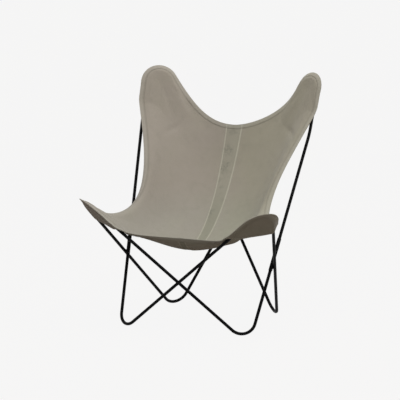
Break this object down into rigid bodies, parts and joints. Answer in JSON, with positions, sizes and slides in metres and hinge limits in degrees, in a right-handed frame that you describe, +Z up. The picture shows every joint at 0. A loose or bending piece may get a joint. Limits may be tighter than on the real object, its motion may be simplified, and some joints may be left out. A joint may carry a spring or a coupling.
{
  "type": "butterfly sling chair",
  "caption": "Low lounge chair: a canvas sling seat hangs by corner pockets on the horns of a frame of crossing bent steel rods.",
  "frame": {"origin": "on the floor under the middle of the bounding box", "axes": "the chair faces -Y, +X is to the right of a viewer who looks at its front, +Z is up"},
  "size_m": [0.7896, 0.7134, 0.9375],
  "materials": {
    "frame": "satin black coat",
    "canvas": "plain-weave cotton canvas, grey taupe",
    "facing": "canvas tape under the hems"
  },
  "bodies": {
    "root": {"frame_loop_front": "frame", "frame_loop_rear": "frame", "splice_sleeve_left": "frame", "splice_sleeve_right": "frame", "weld_front_crossing": "frame", "weld_back_crossing": "frame", "weld_left_crossing": "frame", "weld_right_crossing": "frame", "sling_left_panel": "canvas", "sling_right_panel": "canvas", "sling_centre_strip": "canvas", "facing_top": "facing", "facing_front": "facing", "facing_left": "facing", "facing_right": "facing", "pocket_back_left": "canvas", "pocket_back_right": "canvas", "pocket_front_left": "canvas", "pocket_front_right": "canvas"}
  },
  "joints": []
}
